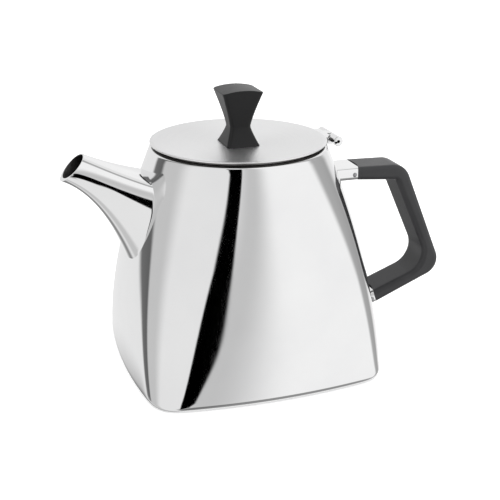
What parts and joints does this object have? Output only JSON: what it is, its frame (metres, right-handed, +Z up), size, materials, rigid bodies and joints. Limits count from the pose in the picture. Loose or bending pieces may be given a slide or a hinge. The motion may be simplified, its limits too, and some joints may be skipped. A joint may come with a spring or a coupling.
{
  "type": "teapot",
  "caption": "Polished steel teapot with a square foot, round top, flared spout, angular black handle and a hinged lid with a black waisted knob.",
  "frame": {"origin": "centre of the face the foot stands on", "axes": "+Z up, +X towards the handle, the spout points to -X, +Y away from a viewer who has the spout on the left"},
  "size_m": [0.2, 0.128, 0.1398],
  "materials": {
    "polished_steel": "mirror polished stainless steel",
    "satin_steel": "fine satin stainless steel",
    "handle_plastic": "satin black heat-resistant plastic",
    "brass": "plain"
  },
  "bodies": {
    "pot": {"body_shell": "polished_steel", "base_plate": "satin_steel", "spout_shell": "polished_steel", "upper_bracket": "polished_steel", "lower_bracket": "polished_steel", "handle_grip": "handle_plastic", "upper_rivet": "polished_steel", "lower_rivet": "polished_steel", "hinge_body_leaf": "polished_steel", "hinge_pin": "polished_steel"},
    "lid": {"lid_plate": "satin_steel", "lid_skirt": "satin_steel", "hinge_lid_leaf": "polished_steel", "knob": "handle_plastic", "knob_insert": "brass", "knob_washer": "polished_steel", "knob_screw": "polished_steel"}
  },
  "joints": [
    {"name": "lid_hinge", "type": "hinge", "parent": "pot", "child": "lid", "pos_m": [0.049, 0, 0.1115], "axis": [0, 1, 0], "range_deg": [0, 105]}
  ]
}
